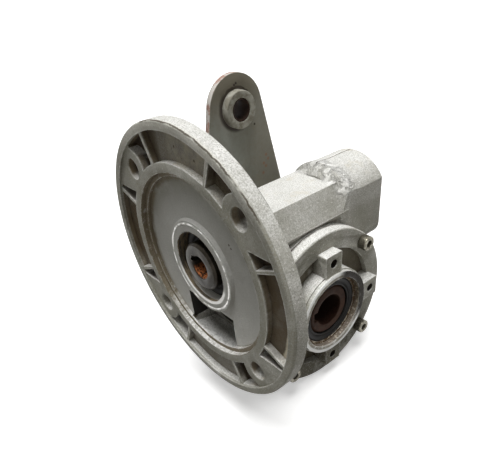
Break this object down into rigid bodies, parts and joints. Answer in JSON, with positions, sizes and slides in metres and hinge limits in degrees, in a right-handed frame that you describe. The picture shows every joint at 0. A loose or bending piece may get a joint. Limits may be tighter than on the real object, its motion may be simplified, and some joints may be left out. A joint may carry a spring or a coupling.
{
  "type": "worm gear reducer",
  "caption": "Right-angle worm gear reducer with a round motor flange, hollow keyed output shaft, bolted side covers and a torque arm with a rubber bush.",
  "frame": {"origin": "centre of the output bore, midway between the two covers", "axes": "+X along the worm from the motor flange to the rear end, +Y along the output bore from the near cover to the cover with the torque arm, +Z from the output axis up to the worm axis"},
  "size_m": [0.1188, 0.14, 0.1633],
  "materials": {
    "cast_aluminium": "cast, worn, light grey",
    "arm_paint": "satin grey paint over flat steel, chipped at the edges",
    "zinc_screw": "yellowish zinc plating, dull",
    "black_seal": "matt",
    "bush_rubber": "matt",
    "bush_sleeve": "dull, worn",
    "shaft_steel": "dark, rusty in the bore",
    "worm_steel": "ground, dark",
    "wheel_bronze": "machined",
    "ring_steel": "ground",
    "ball_steel": "polished",
    "cage_steel": "pressed",
    "spring_steel": "blackened",
    "gasket_sheet": "thin fibre sheet",
    "cap_rubber": "rubber-coated steel cap"
  },
  "bodies": {
    "housing": {"gear_case": "cast_aluminium", "near_cover": "cast_aluminium", "far_cover": "cast_aluminium", "near_cover_gasket": "gasket_sheet", "far_cover_gasket": "gasket_sheet", "near_cover_screws": "zinc_screw", "far_cover_screws": "zinc_screw", "near_output_seal": "black_seal", "far_output_seal": "black_seal", "worm_seal": "black_seal", "worm_front_circlip": "spring_steel", "worm_rear_circlip": "spring_steel", "worm_rear_cap": "cap_rubber", "near_output_bearing_outer_ring": "ring_steel", "far_output_bearing_outer_ring": "ring_steel", "worm_front_bearing_outer_ring": "ring_steel", "worm_rear_bearing_outer_ring": "ring_steel", "torque_arm": "arm_paint", "torque_arm_bush_sleeve": "bush_sleeve", "torque_arm_bush_liner": "bush_rubber", "torque_arm_bolts": "zinc_screw", "torque_arm_washers": "zinc_screw"},
    "output": {"hollow_output_shaft": "shaft_steel", "worm_wheel_rim": "wheel_bronze", "near_output_bearing_inner_ring": "ring_steel", "far_output_bearing_inner_ring": "ring_steel"},
    "worm": {"worm_shaft": "worm_steel", "worm_front_bearing_inner_ring": "ring_steel", "worm_rear_bearing_inner_ring": "ring_steel", "worm_shaft_circlip": "spring_steel"},
    "near_output_bearing_cage": {"near_output_bearing_balls": "ball_steel", "near_output_bearing_cage": "cage_steel"},
    "far_output_bearing_cage": {"far_output_bearing_balls": "ball_steel", "far_output_bearing_cage": "cage_steel"},
    "worm_front_bearing_cage": {"worm_front_bearing_balls": "ball_steel", "worm_front_bearing_cage": "cage_steel"},
    "worm_rear_bearing_cage": {"worm_rear_bearing_balls": "ball_steel", "worm_rear_bearing_cage": "cage_steel"}
  },
  "joints": [
    {"name": "output_turn", "type": "hinge", "parent": "housing", "child": "output", "pos_m": [0, 0, 0], "axis": [0, 1, 0], "continuous": true},
    {"name": "worm_turn", "type": "hinge", "parent": "housing", "child": "worm", "pos_m": [0, 0, 0.0446], "axis": [1, 0, 0], "continuous": true},
    {"name": "near_output_bearing_cage_turn", "type": "hinge", "parent": "housing", "child": "near_output_bearing_cage", "pos_m": [0, -0.016, 0], "axis": [0, 1, 0], "continuous": true},
    {"name": "far_output_bearing_cage_turn", "type": "hinge", "parent": "housing", "child": "far_output_bearing_cage", "pos_m": [0, 0.016, 0], "axis": [0, 1, 0], "continuous": true},
    {"name": "worm_front_bearing_cage_turn", "type": "hinge", "parent": "housing", "child": "worm_front_bearing_cage", "pos_m": [-0.0417, 0, 0.0446], "axis": [1, 0, 0], "continuous": true},
    {"name": "worm_rear_bearing_cage_turn", "type": "hinge", "parent": "housing", "child": "worm_rear_bearing_cage", "pos_m": [0.0385, 0, 0.0446], "axis": [1, 0, 0], "continuous": true}
  ],
  "couplings": [
    {"joint": "worm_turn", "follows": "output_turn", "ratio": -28},
    {"joint": "near_output_bearing_cage_turn", "follows": "output_turn", "ratio": 0.42987},
    {"joint": "far_output_bearing_cage_turn", "follows": "output_turn", "ratio": 0.42987},
    {"joint": "worm_front_bearing_cage_turn", "follows": "output_turn", "ratio": -12.419},
    {"joint": "worm_rear_bearing_cage_turn", "follows": "output_turn", "ratio": -11.164}
  ]
}
